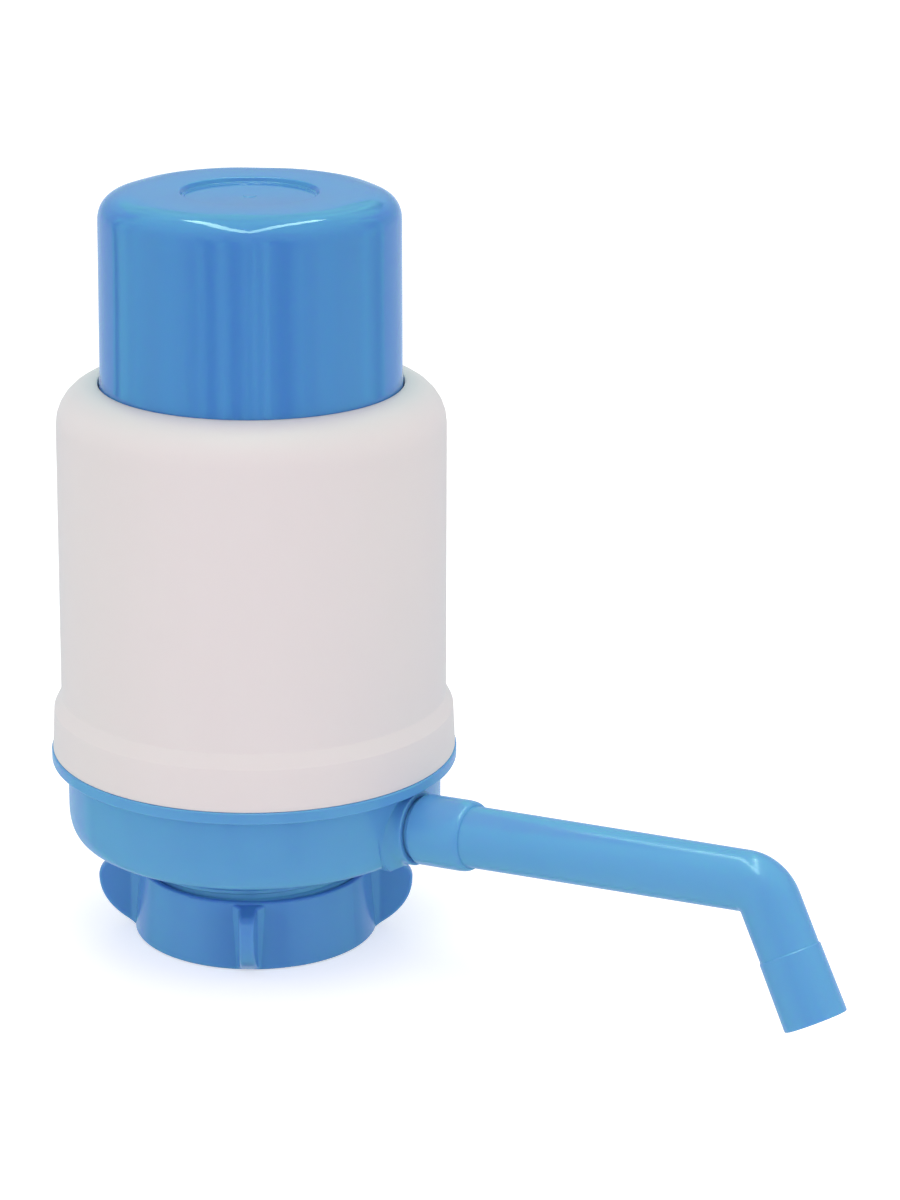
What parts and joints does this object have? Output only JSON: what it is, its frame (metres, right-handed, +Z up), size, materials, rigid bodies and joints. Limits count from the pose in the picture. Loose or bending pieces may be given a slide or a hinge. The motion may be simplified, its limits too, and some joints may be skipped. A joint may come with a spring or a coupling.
{
  "type": "water jug hand pump",
  "caption": "Press-cap bellows pump for a large water jug: round white housing, blue base with a swivelling bent spout, and a winged nut that clamps the jug's neck.",
  "frame": {"origin": "centre of the neck opening at the foot of the wing nut, on the plane the pump stands on", "axes": "+Z up along the pump's axis, towards the press cap; +X is the level heading of the spout"},
  "size_m": [0.2372, 0.1102, 0.2058],
  "materials": {
    "blue": "satin moulded polypropylene",
    "white": "satin moulded polypropylene",
    "natural": "natural moulded polypropylene",
    "bellows": "blow-moulded soft polyethylene",
    "seal": "food-grade silicone",
    "steel": "stainless screws"
  },
  "bodies": {
    "root": {"base_bowl": "blue", "housing_shell": "white", "deck_plate": "natural", "deck_gasket": "seal", "outlet_valve": "seal", "bellows": "bellows", "bellows_ring": "natural", "ring_screws": "steel", "rim_gasket": "seal", "neck_seal": "seal"},
    "cap": {"press_cap": "blue", "bellows_head": "natural", "inlet_valve": "seal", "bellows_collar": "natural"},
    "clamp": {"slip_ring": "natural"},
    "nut": {"wing_nut": "blue"},
    "spout": {"spout_tube": "blue", "spout_o_rings": "seal"}
  },
  "joints": [
    {"name": "cap_press", "type": "slide", "parent": "root", "child": "cap", "axis": [0, 0, -1], "range_m": [0, 0.042], "stiffness_N_per_m": 550, "springref_m": -0.01, "deforming": ["bellows"]},
    {"name": "spout_swivel", "type": "hinge", "parent": "root", "child": "spout", "pos_m": [0, 0, 0.0356], "axis": [0.9974, 0, 0.0725], "continuous": true},
    {"name": "seal_squeeze", "type": "slide", "parent": "root", "child": "clamp", "axis": [0, 0, 1], "range_m": [0, 0.0025], "deforming": ["neck_seal"]},
    {"name": "nut_turn", "type": "hinge", "parent": "clamp", "child": "nut", "pos_m": [0, 0, 0], "axis": [0, 0, 1], "range_deg": [0, 150]}
  ],
  "couplings": [
    {"joint": "nut_turn", "follows": "seal_squeeze", "rad_per_m": 1047.2}
  ]
}
